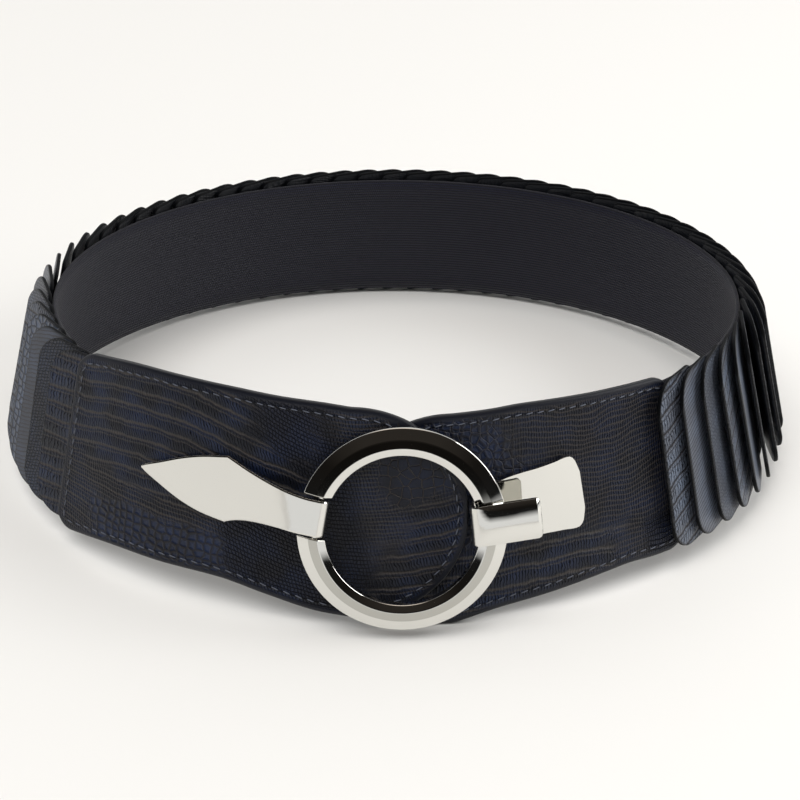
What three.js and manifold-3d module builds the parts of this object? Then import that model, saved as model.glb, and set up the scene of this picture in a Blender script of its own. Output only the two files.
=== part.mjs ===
// Elastic stretch belt, fastened: two embossed leather front panels, a ring hinged to a leaf-shaped plate,
// a hook that catches the ring, and an elastic band covered with overlapping leather plates.
// Millimetres, +Z up, the buckle faces -Y, the wearer's left is +X. The belt stands on its lower edge.
import * as THREE from "three";
import { mergeVertices } from "three/addons/utils/BufferGeometryUtils.js";
import Module from "manifold-3d";

const wasm = await Module();
wasm.setup();

// The loop that the inside of the band follows, an ellipse that leans out at the bottom as hips do
const loopHalfWidth = 143;
const loopHalfDepth = 116;
const leanFront = 13; // degrees
const leanSide = 14; // degrees

const seatGap = 0.3; // between pieces that touch

// Elastic band
const bandWidth = 62;
const bandThickness = 1.5;
const bandTuck = 20; // length of band behind each panel's end
const bandStep = 9; // length of one facet

// Front panels
const panelWidth = 79; // at the buckle
const panelThickness = 2.8;
const leftReach = 133.4; // from the ring's centre to the outer end
const rightReach = 108;
const outerCornerRadius = 8;
const roundEndMargin = 4.4; // between the panels' round inner ends and the edge of the ring's hole
const leftEndLift = 1.1; // of the left panel's outer end, which lies over the last plate
const leftLiftLength = 16; // over which it rises
const panelStep = 6; // length of one facet
const panelEdgeRound = 0.84; // of the painted edge

// Overlapping plates
const plateCount = 52;
const plateHeight = 67;
const plateLength = 27; // from the seam to the free edge
const plateThickness = 1.6;
const plateFreeRadius = 12;
const plateSeamRadius = 3;
const plateArcSteps = 4; // facets of one rounded corner
const rightSeamOffset = 14.3; // first seam, past the right panel's end
const leftSeamOffset = 10.4; // last seam, behind the left panel's end

// Ring
const ringRadius = 37.3;
const ringBand = 10; // radial width of the metal
const ringThickness = 4.9;
const ringHeight = -4.2; // below the middle of the band
const ringLean = 3; // degrees that its lower edge stands off the leather
const ringGap = 15.4; // the opening that takes the knuckle
const ringFacets = 64;

// Pin and leaf plate
const pinRadius = 1.1;
const pinDepth = 3; // length seated in each side of the gap
const pinFromEdge = 7.3; // from the ring's outer edge
const pinTurn = 9.6; // degrees above the horizontal
const pinFacets = 12;
const knuckleWidth = 13.2;
const leafThickness = 1.8;
const leafTip = 94.5; // along the band from the ring's centre
const leafWidth = 25;
const leafTipHeight = 4.2;
const leafLift = 61; // where the plate leaves the leather
const neckAhead = 1.9; // the neck's end from the pin, in shares of the knuckle's radius
const neckLift = 0.62;

// Hook
const hookTurn = 5.5; // degrees above the horizontal
const hookThickness = 1.8;
const hookReach = 64.5; // along the band from the ring's centre
const hookFlare = 27.4;
const hookWallWidth = 14.4;
const tonguePast = 12; // reach of the tongue past the ring's outer edge
const tongueTilt = 11; // degrees that the tongue falls towards the leather
const tongueThickness = 2.4;
const tongueHeight = 14.6;
const tongueBevel = 1.7;
const tongueGap = 0.5; // between the tongue and the ring's crest
const hookCornerRadius = 2.5;

const radians = THREE.MathUtils.degToRad;

// Arc length along the loop, measured from the front centre towards +X
const arcSteps = 2160;
const arcStart = -Math.PI;
const arcEnd = 2 * Math.PI;
const arcTable = [0];
for (let i = 1; i <= arcSteps; i++) {
  const angle = arcStart + ((i - 0.5) / arcSteps) * (arcEnd - arcStart);
  const speed = Math.hypot(loopHalfWidth * Math.cos(angle), loopHalfDepth * Math.sin(angle));
  arcTable.push(arcTable[i - 1] + (speed * (arcEnd - arcStart)) / arcSteps);
}
const arcFront = arcTable[Math.round((arcSteps * -arcStart) / (arcEnd - arcStart))];
const loopLength = arcTable[arcSteps] - arcTable[arcSteps / 3];

function angleAt(distance) {
  const wanted = distance + arcFront;
  let low = 0;
  let high = arcSteps;
  while (high - low > 1) {
    const middle = (low + high) >> 1;
    if (arcTable[middle] > wanted) high = middle;
    else low = middle;
  }
  const share = (wanted - arcTable[low]) / (arcTable[high] - arcTable[low]);
  return arcStart + ((low + share) / arcSteps) * (arcEnd - arcStart);
}

// The loop's own directions at a distance along it: along the band, up its face, and out of it.
function loopFrame(distance) {
  const angle = angleAt(distance);
  const point = new THREE.Vector3(loopHalfWidth * Math.sin(angle), -loopHalfDepth * Math.cos(angle), 0);
  const along = new THREE.Vector3(
    loopHalfWidth * Math.cos(angle),
    loopHalfDepth * Math.sin(angle),
    0,
  ).normalize();
  const lean = radians(leanFront * Math.cos(angle) ** 2 + leanSide * Math.sin(angle) ** 2);
  const level = new THREE.Vector3(along.y, -along.x, 0);
  const up = level.clone().multiplyScalar(-Math.sin(lean)).setZ(Math.cos(lean));
  const out = level.clone().multiplyScalar(Math.cos(lean)).setZ(Math.sin(lean));
  return { point, along, up, out };
}

function place(distance, height, offset) {
  const { point, up, out } = loopFrame(distance);
  return point.addScaledVector(up, height).addScaledVector(out, offset);
}

// Smooth value of a column of a table at a place in its first column.
function tableValue(rows, at, column) {
  const last = rows.length - 1;
  let i = rows.findIndex((row) => row.at > at);
  if (i < 0) i = last;
  i = Math.max(1, i);
  const a = rows[i - 1];
  const b = rows[i];
  const slope = (k) => {
    const before = rows[Math.max(0, k - 1)];
    const after = rows[Math.min(last, k + 1)];
    return (after[column] - before[column]) / (after.at - before.at);
  };
  const span = b.at - a.at;
  const t = THREE.MathUtils.clamp((at - a.at) / span, 0, 1);
  const t2 = t * t;
  const t3 = t2 * t;
  return (
    (2 * t3 - 3 * t2 + 1) * a[column] +
    (t3 - 2 * t2 + t) * span * slope(i - 1) +
    (3 * t2 - 2 * t3) * b[column] +
    (t3 - t2) * span * slope(i)
  );
}

// Signed volume of a closed indexed mesh, which tells which way its faces point.
function signedVolume(points, index) {
  let sum = 0;
  for (let i = 0; i < index.length; i += 3) {
    const [a, b, c] = [points[index[i]], points[index[i + 1]], points[index[i + 2]]];
    sum += a.dot(new THREE.Vector3().crossVectors(b, c));
  }
  return sum / 6;
}

// A closed solid through a row of sections, each with the same number of points.
function loft(sections) {
  const count = sections[0].length;
  const points = sections.flat();
  const index = [];
  for (let i = 0; i < sections.length - 1; i++) {
    const here = i * count;
    const next = here + count;
    for (let j = 0; j < count; j++) {
      const k = (j + 1) % count;
      index.push(here + j, next + j, next + k, here + j, next + k, here + k);
    }
  }
  const end = (sections.length - 1) * count;
  for (let j = 1; j < count - 1; j++) {
    index.push(0, j, j + 1);
    index.push(end, end + j + 1, end + j);
  }
  if (signedVolume(points, index) < 0) index.reverse();
  return new THREE.BufferGeometry().setFromPoints(points).setIndex(index);
}

// A strip of metal through rows of { at, across, upper, lower, thick, bevel }; its front edges are bevelled.
function strip(rows) {
  const sections = rows.map((row, i) => {
    const ahead = rows[Math.min(i + 1, rows.length - 1)].at;
    const behind = rows[Math.max(i - 1, 0)].at;
    const way = ahead.clone().sub(behind).normalize();
    const front = new THREE.Vector3().crossVectors(way, row.across).normalize();
    const across = new THREE.Vector3().crossVectors(front, way);
    const half = row.thick / 2;
    const { bevel, upper, lower } = row;
    return [
      [-lower, -half],
      [-lower, half - bevel / 2],
      [bevel - lower, half],
      [upper - bevel, half],
      [upper, half - bevel / 2],
      [upper, -half],
    ].map(([y, z]) => row.at.clone().addScaledVector(across, y).addScaledVector(front, z));
  });
  return loft(sections);
}

const toSolid = (geometry) => {
  const bare = geometry.clone();
  bare.deleteAttribute("normal");
  bare.deleteAttribute("uv");
  const merged = mergeVertices(bare, 1e-4);
  return new wasm.Manifold(
    new wasm.Mesh({
      numProp: 3,
      vertProperties: merged.attributes.position.array,
      triVerts: new Uint32Array(merged.index.array),
    }),
  );
};

const fromSolid = (solid) => {
  const mesh = solid.getMesh();
  return new THREE.BufferGeometry()
    .setAttribute("position", new THREE.BufferAttribute(mesh.vertProperties, 3))
    .setIndex(new THREE.BufferAttribute(mesh.triVerts, 1));
};

const leather = new THREE.MeshStandardMaterial({ color: 0x1b2033, roughness: 0.5, metalness: 0 });
const plateLeather = new THREE.MeshStandardMaterial({ color: 0x2a3044, roughness: 0.5, metalness: 0 });
const elasticWeave = new THREE.MeshStandardMaterial({ color: 0x20203a, roughness: 0.9, metalness: 0 });
const nickel = new THREE.MeshStandardMaterial({ color: 0xd8d6cf, roughness: 0.08, metalness: 1 });

const belt = new THREE.Group();
function add(name, geometry, material) {
  const mesh = new THREE.Mesh(geometry, material.clone());
  mesh.name = name;
  belt.add(mesh);
  return mesh;
}

// Offsets from the loop: the band lies on it, the right panel on the band, the left panel on the right one
const rightPanelOffset = bandThickness + seatGap;
const leftPanelOffset = rightPanelOffset + panelThickness + seatGap;
const leftPanelFront = leftPanelOffset + panelThickness;

// The panels' inner ends are half rounds that end inside the ring's hole
const ringInner = ringRadius - ringBand;
const roundEndCentre = panelWidth / 2 - (ringInner - roundEndMargin); // past the ring's centre

// Edges of a panel: at is a share of its reach, top and bottom are shares of half the panel's width
const leftPanelRows = [
  { at: 0.135, top: 0.98, bottom: -1.005 },
  { at: 0.22, top: 1.008, bottom: -0.967 },
  { at: 0.34, top: 1.025, bottom: -0.87 },
  { at: 0.47, top: 1.045, bottom: -0.785 },
  { at: 0.66, top: 1.04, bottom: -0.79 },
  { at: 0.8, top: 1.01, bottom: -0.81 },
  { at: 1, top: 0.9, bottom: -0.915 },
];
const rightPanelRows = [
  { at: 0.17, top: 0.893, bottom: -1.1 },
  { at: 0.3, top: 0.91, bottom: -1.0 },
  { at: 0.42, top: 0.93, bottom: -0.945 },
  { at: 0.74, top: 0.905, bottom: -0.83 },
  { at: 0.88, top: 0.885, bottom: -0.85 },
  { at: 1, top: 0.86, bottom: -0.86 },
];

// One front panel; side is 1 towards +X and -1 towards -X, and endLift is the rise of its outer end.
function panel(rows, reach, side, offset, endLift) {
  const half = panelWidth / 2;
  const edge = (distance) => {
    const at = distance / reach;
    const top = half * tableValue(rows, at, "top");
    const bottom = half * tableValue(rows, at, "bottom");
    const toEnd = reach - distance;
    if (toEnd < outerCornerRadius) {
      const drop = outerCornerRadius - Math.sqrt(outerCornerRadius ** 2 - (outerCornerRadius - toEnd) ** 2);
      return [top - drop, bottom + drop];
    }
    if (distance < roundEndCentre) {
      const middle = (top + bottom) / 2;
      const reachUp = (top - bottom) / 2;
      const share = Math.sqrt(Math.max(0, 1 - ((roundEndCentre - distance) / half) ** 2));
      return [middle + reachUp * share, middle - reachUp * share];
    }
    return [top, bottom];
  };
  const distances = [];
  for (const turn of [80, 68, 56, 44, 34]) distances.push(roundEndCentre - half * Math.sin(radians(turn)));
  distances.push(-panelStep / 2, panelStep / 2, roundEndCentre / 2);
  const straight = reach - outerCornerRadius - roundEndCentre;
  const steps = Math.ceil(straight / panelStep);
  for (let i = 0; i <= steps; i++) distances.push(roundEndCentre + (straight * i) / steps);
  for (const turn of [25, 50, 75, 90])
    distances.push(reach - outerCornerRadius * (1 - Math.sin(radians(turn))));
  const round = panelEdgeRound;
  const sections = distances.map((distance) => {
    const [top, bottom] = edge(distance);
    const middle = (top + bottom) / 2;
    const rising = Math.max(0, 1 - (reach - distance) / leftLiftLength);
    const low = offset + endLift * rising ** 2;
    return [
      [bottom + round, 0],
      [bottom, round],
      [bottom, panelThickness - round],
      [bottom + round, panelThickness],
      [middle, panelThickness],
      [top - round, panelThickness],
      [top, panelThickness - round],
      [top, round],
      [top - round, 0],
    ].map(([height, depth]) => place(side * distance, height, low + depth));
  });
  return loft(sections);
}

add("front_panel_right", panel(rightPanelRows, rightReach, 1, rightPanelOffset, 0), leather);
add("front_panel_left", panel(leftPanelRows, leftReach, -1, leftPanelOffset, leftEndLift), leather);

// The elastic band runs from behind the right panel round the back to behind the left panel,
// where it rises past the last plate's seam to meet the panel.
const lastSeam = loopLength - leftReach + leftSeamOffset;
const firstSeam = rightReach + rightSeamOffset;
const bandRise = leftPanelOffset - seatGap - bandThickness;
function bandOffset(distance) {
  const past = THREE.MathUtils.clamp((distance - lastSeam - 1) / (bandTuck / 2), 0, 1);
  return bandRise * past * past * (3 - 2 * past);
}
function elasticBand() {
  const start = rightReach - bandTuck;
  const end = loopLength - leftReach + bandTuck + leftSeamOffset;
  const distances = [];
  const steps = Math.ceil((lastSeam - start) / bandStep);
  for (let i = 0; i <= steps; i++) distances.push(start + ((lastSeam - start) * i) / steps);
  for (let i = 1; i <= 8; i++) distances.push(lastSeam + ((end - lastSeam) * i) / 8);
  const half = bandWidth / 2;
  const sections = distances.map((distance) => {
    const low = bandOffset(distance);
    return [
      place(distance, -half, low),
      place(distance, -half, low + bandThickness),
      place(distance, half, low + bandThickness),
      place(distance, half, low),
    ];
  });
  return loft(sections);
}
add("elastic_band", elasticBand(), elasticWeave);

// Each plate is sewn to the band along one seam, and its free end lies on the plates before it.
const platePitch = (lastSeam - firstSeam) / (plateCount - 1);
const plateTilt = Math.asin((plateThickness + seatGap) / platePitch);
function plateOutline() {
  const half = plateHeight / 2;
  const shape = new THREE.Shape();
  shape.moveTo(plateSeamRadius, -half);
  shape.lineTo(plateLength - plateFreeRadius, -half);
  shape.absarc(plateLength - plateFreeRadius, plateFreeRadius - half, plateFreeRadius, -Math.PI / 2, 0);
  shape.lineTo(plateLength, half - plateFreeRadius);
  shape.absarc(plateLength - plateFreeRadius, half - plateFreeRadius, plateFreeRadius, 0, Math.PI / 2);
  shape.lineTo(plateSeamRadius, half);
  shape.absarc(plateSeamRadius, half - plateSeamRadius, plateSeamRadius, Math.PI / 2, Math.PI);
  shape.lineTo(0, plateSeamRadius - half);
  shape.absarc(plateSeamRadius, plateSeamRadius - half, plateSeamRadius, Math.PI, 1.5 * Math.PI);
  return shape;
}
function plate(number) {
  const geometry = new THREE.ExtrudeGeometry(plateOutline(), {
    depth: plateThickness,
    bevelEnabled: false,
    curveSegments: plateArcSteps,
  });
  const seam = firstSeam + number * platePitch;
  const { along, up, out } = loopFrame(seam);
  const forward = along.multiplyScalar(-Math.cos(plateTilt)).addScaledVector(out, Math.sin(plateTilt));
  const down = up.negate();
  const face = new THREE.Vector3().crossVectors(forward, down);
  const mesh = add(`plate_${String(number + 1).padStart(2, "0")}`, geometry, plateLeather);
  mesh.quaternion.setFromRotationMatrix(new THREE.Matrix4().makeBasis(forward, down, face));
  mesh.position.copy(place(seam, 0, bandThickness + seatGap));
}
for (let number = 0; number < plateCount; number++) plate(number);

// The ring lies on the left panel and leans a little more than it
const front = loopFrame(0);
const ringOut = front.out
  .clone()
  .multiplyScalar(Math.cos(radians(ringLean)))
  .addScaledVector(front.up, Math.sin(radians(ringLean)));
const ringUp = front.up
  .clone()
  .multiplyScalar(Math.cos(radians(ringLean)))
  .addScaledVector(front.out, -Math.sin(radians(ringLean)));
const ringStandOff = leftPanelFront + seatGap + ringThickness / 2 + ringRadius * Math.sin(radians(ringLean));
const ringCentre = place(0, ringHeight, ringStandOff);
const ringCrest = ringInner + 0.28 * ringBand; // radius of the highest line
const pinReach = ringRadius - pinFromEdge; // from the ring's centre

// A point at a distance from the ring's centre, along a direction in its plane, and lifted out of that plane.
function ringPoint(direction, distance, lift) {
  return ringCentre.clone().addScaledVector(direction, distance).addScaledVector(ringOut, lift);
}

const pinDirection = front.along
  .clone()
  .multiplyScalar(-Math.cos(radians(pinTurn)))
  .addScaledVector(ringUp, Math.sin(radians(pinTurn)));
const pinAxis = new THREE.Vector3().crossVectors(pinDirection, ringOut).normalize();
if (pinAxis.z < 0) pinAxis.negate();
const hookDirection = front.along
  .clone()
  .multiplyScalar(Math.cos(radians(hookTurn)))
  .addScaledVector(ringUp, Math.sin(radians(hookTurn)));
const hookAcross = new THREE.Vector3().crossVectors(ringOut, hookDirection).normalize();

// Ring section: an outer slope, a shallow cone up to a crest near the hole, and an inner bevel
function ringProfile() {
  const back = -ringThickness / 2;
  const crest = ringThickness / 2;
  const inner = ringInner;
  const edge = 0.35; // rounding of the corners
  return [
    [inner + edge, back],
    [ringRadius - edge, back],
    [ringRadius, back + edge],
    [ringRadius, crest - 0.62 * ringThickness],
    [ringRadius - edge, crest - 0.55 * ringThickness],
    [ringRadius - 0.41 * ringBand, crest - 0.16 * ringThickness],
    [ringCrest, crest],
    [inner + 0.23 * ringBand, crest - 0.03 * ringThickness],
    [inner + edge * 0.6, crest - 0.4 * ringThickness],
    [inner, crest - 0.46 * ringThickness],
    [inner, back + edge],
    [inner + edge, back],
  ].map(([radius, lift]) => new THREE.Vector2(radius, lift));
}
function ringSolid() {
  const lathe = new THREE.LatheGeometry(ringProfile(), ringFacets).rotateX(Math.PI / 2);
  let solid = toSolid(lathe);
  if (solid.volume() < 0) {
    const turned = lathe.clone();
    turned.setIndex([...lathe.index.array].reverse());
    solid = toSolid(turned);
  }
  const gap = new THREE.BoxGeometry(2 * ringBand, ringGap, 2 * ringThickness);
  gap.translate(-(ringRadius - ringBand / 2), 0, 0);
  const hole = new THREE.CylinderGeometry(
    pinRadius + seatGap,
    pinRadius + seatGap,
    ringGap + 2 * (pinDepth + seatGap),
    pinFacets,
  );
  hole.translate(-pinReach, 0, 0);
  return fromSolid(solid.subtract(toSolid(gap)).subtract(toSolid(hole)));
}
const ring = add("ring", ringSolid(), nickel);
const ringBasis = new THREE.Matrix4().makeBasis(pinDirection.clone().negate(), pinAxis, ringOut);
ring.quaternion.setFromRotationMatrix(ringBasis);
ring.position.copy(ringCentre);

const pin = add(
  "hinge_pin",
  new THREE.CylinderGeometry(pinRadius, pinRadius, ringGap + 2 * pinDepth, pinFacets),
  nickel,
);
pin.quaternion.copy(ring.quaternion);
pin.position.copy(ringPoint(pinDirection, pinReach, 0));

// Leaf plate: its half width at a share of the length from the knuckle to the tip
const leafRows = [
  { at: 0, half: 0.53 },
  { at: 0.17, half: 0.58 },
  { at: 0.34, half: 0.74 },
  { at: 0.5, half: 1 },
  { at: 0.64, half: 0.86 },
  { at: 0.76, half: 0.65 },
  { at: 0.9, half: 0.31 },
  { at: 1, half: 0.03 },
];
function leafPlate() {
  const onLeather = leftPanelFront + seatGap + leafThickness / 2;
  const bevel = leafThickness * 0.3;
  const row = (at, across, halfShare) => ({
    at,
    across,
    upper: (leafWidth / 2) * halfShare,
    lower: (leafWidth / 2) * halfShare,
    thick: leafThickness,
    bevel: Math.min(bevel, (leafWidth / 2) * halfShare * 0.5),
  });
  const rows = [];
  const knuckleShare = knuckleWidth / leafWidth;
  for (const share of [1, 0.95, 0.9, 0.83, 0.76, 0.7, 0.64, 0.57, 0.5]) {
    const distance = -THREE.MathUtils.lerp(leafLift, leafTip, (share - 0.5) * 2);
    const { up } = loopFrame(distance);
    rows.push(row(place(distance, leafTipHeight, onLeather), up, tableValue(leafRows, share, "half")));
  }
  // the straight neck, from the belly up to the bend before the knuckle
  const curl = pinRadius + seatGap + leafThickness / 2;
  const bend = ringPoint(pinDirection, pinReach + neckAhead * curl, neckLift * curl);
  const belly = rows[rows.length - 1];
  for (const share of [0.42, 0.34, 0.26, 0.18, 0.1, 0.03]) {
    const part = share / 0.5;
    const across = belly.across.clone().multiplyScalar(part).addScaledVector(pinAxis, 1 - part);
    rows.push(
      row(belly.at.clone().lerp(bend, 1 - part), across.normalize(), tableValue(leafRows, share, "half")),
    );
  }
  for (let turn = 110; turn >= -140; turn -= 25) {
    const at = ringPoint(
      pinDirection,
      pinReach - curl * Math.cos(radians(turn)),
      curl * Math.sin(radians(turn)),
    );
    rows.push(row(at, pinAxis, knuckleShare));
  }
  return strip(rows);
}
add("leaf_plate", leafPlate(), nickel);

// Width of the hook's plate at a share of its length, from the wall to the free end
const flareRows = [
  { share: 1, width: hookFlare * 0.5 },
  { share: 0.97, width: hookFlare * 0.84 },
  { share: 0.92, width: hookFlare },
  { share: 0.76, width: hookFlare * 0.96 },
  { share: 0.6, width: hookFlare * 0.92 },
  { share: 0.44, width: hookFlare * 0.9 },
  { share: 0.28, width: hookFlare * 0.84 },
  { share: 0.18, width: hookFlare * 0.74 },
  { share: 0.09, width: hookWallWidth * 1.15 },
  { share: 0, width: hookWallWidth },
];

// Shares of the tongue's length, width, thickness and bevel, from the wall to the free end
const tongueRows = [
  { share: 0.12, width: 1, thick: 1, cut: 1 },
  { share: 0.5, width: 1, thick: 1, cut: 1 },
  { share: 0.93, width: 1, thick: 1, cut: 1 },
  { share: 1, width: 0.8, thick: 0.45, cut: 0.3 },
];

// Hook: a flared plate on the right panel that goes under the ring, a wall in the ring's hole,
// and a bevelled tongue that comes back over the ring
function hook() {
  const onLeather = rightPanelOffset + panelThickness + seatGap + hookThickness / 2;
  const bevel = hookThickness * 0.25;
  const rows = [];
  const flat = (at, across, width, thick, cut) =>
    rows.push({ at, across, upper: width / 2, lower: width / 2, thick, bevel: cut });
  // the wall stands clear of the ring's inner edge at the wall's own corners
  const wall = Math.sqrt(ringInner ** 2 - (hookWallWidth / 2) ** 2) - seatGap - hookThickness / 2;
  const turnStart = wall + hookCornerRadius;
  const sideways = (distance) => {
    const height = ringHeight + distance * Math.tan(radians(hookTurn));
    return place(distance, height, onLeather);
  };
  // the plate runs along the leather until the bend, which starts at the leather's own slope
  let baseEnd = turnStart;
  let slope = 0;
  for (let i = 0; i < 6; i++) {
    slope = Math.asin(loopFrame(baseEnd).out.dot(hookDirection));
    const reached = sideways(baseEnd).sub(ringCentre).dot(hookDirection);
    baseEnd += turnStart - hookCornerRadius * Math.sin(slope) - reached;
  }
  for (const { share, width } of flareRows) {
    const distance = THREE.MathUtils.lerp(baseEnd, hookReach, share);
    const { up, along } = loopFrame(distance);
    const across = up
      .clone()
      .multiplyScalar(Math.cos(radians(hookTurn)))
      .addScaledVector(along, -Math.sin(radians(hookTurn)));
    flat(sideways(distance), across, width, hookThickness, bevel);
  }
  const base = rows[rows.length - 1].at.clone().sub(ringCentre);
  const baseCentre = base.dot(ringOut) + hookCornerRadius * Math.cos(slope);
  // the tongue's middle line clears the ring's crest and falls from there
  const fall = radians(tongueTilt);
  const tongueStart = turnStart + hookCornerRadius * Math.sin(fall);
  const tongueLift =
    ringThickness / 2 +
    tongueGap +
    tongueThickness / 2 / Math.cos(fall) +
    (ringCrest - tongueStart) * Math.tan(fall);
  const corner = (centreLift, turns) => {
    for (const turn of turns) {
      const reach = turnStart + hookCornerRadius * Math.cos(radians(turn));
      const lift = centreLift + hookCornerRadius * Math.sin(radians(turn));
      flat(ringPoint(hookDirection, reach, lift), hookAcross, hookWallWidth, hookThickness, bevel);
    }
  };
  corner(baseCentre, [-115, -135, -155, -175]);
  corner(tongueLift - hookCornerRadius * Math.cos(fall), [175, 150, 125, 100]);
  for (const { share, width, thick, cut } of tongueRows) {
    const reach = THREE.MathUtils.lerp(tongueStart, ringRadius + tonguePast, share);
    const lift =
      tongueLift - (reach - tongueStart) * Math.tan(fall) - (tongueThickness * (1 - thick)) / 2;
    flat(
      ringPoint(hookDirection, reach, lift),
      hookAcross,
      tongueHeight * width,
      tongueThickness * thick,
      tongueBevel * cut,
    );
  }
  return strip(rows);
}
add("hook", hook(), nickel);

// The belt is turned about X until it stands on the lowest points of its front and its back,
// and moved so that the middle of its underside is the origin.
function restOnFloor(group) {
  group.updateMatrixWorld(true);
  const points = [];
  for (const mesh of group.children) {
    const position = mesh.geometry.attributes.position;
    for (let i = 0; i < position.count; i++)
      points.push(new THREE.Vector3().fromBufferAttribute(position, i).applyMatrix4(mesh.matrixWorld));
  }
  const lowest = (side, turn) => {
    let best = null;
    for (const p of points) {
      if (p.y * side <= 0) continue;
      const z = p.y * Math.sin(turn) + p.z * Math.cos(turn);
      if (!best || z < best.z) best = { z, p };
    }
    return best.p;
  };
  let turn = 0;
  for (let i = 0; i < 8; i++) {
    const ahead = lowest(-1, turn);
    const behind = lowest(1, turn);
    turn = Math.atan2(ahead.z - behind.z, behind.y - ahead.y);
  }
  group.rotation.x = turn;
  const box = new THREE.Box3();
  const turned = new THREE.Matrix4().makeRotationX(turn);
  for (const p of points) box.expandByPoint(p.clone().applyMatrix4(turned));
  group.position.set(-(box.min.x + box.max.x) / 2, -(box.min.y + box.max.y) / 2, -box.min.z);
}
restOnFloor(belt);

export default belt;
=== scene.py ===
import math
import bpy
import numpy as np
from mathutils import Matrix, Vector


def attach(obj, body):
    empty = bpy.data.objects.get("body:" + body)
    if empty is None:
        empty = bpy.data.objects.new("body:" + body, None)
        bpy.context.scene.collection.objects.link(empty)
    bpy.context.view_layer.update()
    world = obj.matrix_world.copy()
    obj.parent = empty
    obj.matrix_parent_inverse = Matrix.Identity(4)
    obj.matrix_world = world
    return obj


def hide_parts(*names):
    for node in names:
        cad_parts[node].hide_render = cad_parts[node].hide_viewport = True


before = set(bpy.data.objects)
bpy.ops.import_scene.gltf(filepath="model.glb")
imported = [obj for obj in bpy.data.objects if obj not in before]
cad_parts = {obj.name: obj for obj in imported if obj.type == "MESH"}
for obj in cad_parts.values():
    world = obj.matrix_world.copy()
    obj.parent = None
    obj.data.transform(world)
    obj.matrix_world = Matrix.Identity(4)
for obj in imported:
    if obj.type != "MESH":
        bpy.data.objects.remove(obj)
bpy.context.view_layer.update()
print("frame loaded:", len(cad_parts), "nodes")

# Sizes below are in millimetres, as in the part, and become metres when a mesh is made
metre = 0.001
# The room that the solids keep between parts that lie on each other
room = 0.3

# The loop that the inside of the band follows, and how the part stands on the floor
loop = {
    "halfWidth": 143,
    "halfDepth": 116,
    "leanFront": 13,
    "leanSide": 14,
    "stanceTurn": -2.17441,
    "stanceShift": (-0.0599, 5.3642, 36.8713),
}
arcSteps = 21600
arcAngle = -math.pi + np.arange(arcSteps + 1) / arcSteps * 3 * math.pi
arcMiddle = (arcAngle[1:] + arcAngle[:-1]) / 2
arcSpeed = np.hypot(loop["halfWidth"] * np.cos(arcMiddle), loop["halfDepth"] * np.sin(arcMiddle))
arcLength = np.concatenate([[0], np.cumsum(arcSpeed * 3 * math.pi / arcSteps)])
arcLength -= np.interp(0, arcAngle, arcLength)
loopLength = np.interp(2 * math.pi, arcAngle, arcLength)


# Points beside the loop, moved to where the part stands on the floor
def stand(points):
    turn = math.radians(loop["stanceTurn"])
    c, s = math.cos(turn), math.sin(turn)
    turned = np.stack(
        [points[..., 0], points[..., 1] * c - points[..., 2] * s, points[..., 1] * s + points[..., 2] * c], -1
    )
    return turned + np.array(loop["stanceShift"])


# Along, up and out of the band at distances along the loop, before the stance
def directions(distance):
    angle = np.interp(distance, arcLength, arcAngle)
    point = np.stack([loop["halfWidth"] * np.sin(angle), -loop["halfDepth"] * np.cos(angle), 0 * angle], -1)
    along = np.stack([loop["halfWidth"] * np.cos(angle), loop["halfDepth"] * np.sin(angle), 0 * angle], -1)
    along /= np.linalg.norm(along, axis=-1, keepdims=True)
    lean = np.radians(loop["leanFront"] * np.cos(angle) ** 2 + loop["leanSide"] * np.sin(angle) ** 2)
    level = np.stack([along[..., 1], -along[..., 0], 0 * angle], -1)
    up = -level * np.sin(lean)[..., None]
    up[..., 2] = np.cos(lean)
    out = level * np.cos(lean)[..., None]
    out[..., 2] = np.sin(lean)
    return point, along, up, out


def onLoop(distance, height, offset):
    distance, height, offset = np.broadcast_arrays(*(np.asarray(x, float) for x in (distance, height, offset)))
    point, _, up, out = directions(distance)
    return point + up * height[..., None] + out * offset[..., None]


def unit(v):
    return v / np.linalg.norm(v)


# Smooth values of a column of a table whose rows start with their place
def smoothColumn(rows, at, column):
    places = np.array([row[0] for row in rows], float)
    values = np.array([row[column] for row in rows], float)
    slopes = np.empty(len(rows))
    slopes[1:-1] = (values[2:] - values[:-2]) / (places[2:] - places[:-2])
    slopes[0] = (values[1] - values[0]) / (places[1] - places[0])
    slopes[-1] = (values[-1] - values[-2]) / (places[-1] - places[-2])
    at = np.clip(np.asarray(at, float), places[0], places[-1])
    i = np.clip(np.searchsorted(places, at, side="right") - 1, 0, len(rows) - 2)
    span = places[i + 1] - places[i]
    t = (at - places[i]) / span
    return (
        (2 * t**3 - 3 * t**2 + 1) * values[i]
        + (t**3 - 2 * t**2 + t) * span * slopes[i]
        + (3 * t**2 - 2 * t**3) * values[i + 1]
        + (t**3 - t**2) * span * slopes[i + 1]
    )


def smoothStep(low, high, x):
    t = np.clip((x - low) / (high - low), 0, 1)
    return t * t * (3 - 2 * t)


# Materials. Colours are as seen on a screen
def colour(text, alpha=1.0):
    parts = [int(text[i : i + 2], 16) / 255 for i in (1, 3, 5)]
    return tuple(c / 12.92 if c <= 0.04045 else ((c + 0.055) / 1.055) ** 2.4 for c in parts) + (alpha,)


# Adds one node, with its settings by name and its inputs as values or links
def node(tree, kind, settings=None, **inputs):
    made = tree.nodes.new("ShaderNode" + kind)
    for name, value in (settings or {}).items():
        setattr(made, name, value)
    for name, value in inputs.items():
        key = int(name[1:]) if name[0] == "i" and name[1:].isdigit() else name.replace("_", " ")
        if isinstance(value, bpy.types.NodeSocket):
            tree.links.new(value, made.inputs[key])
        else:
            made.inputs[key].default_value = value
    return made


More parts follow.
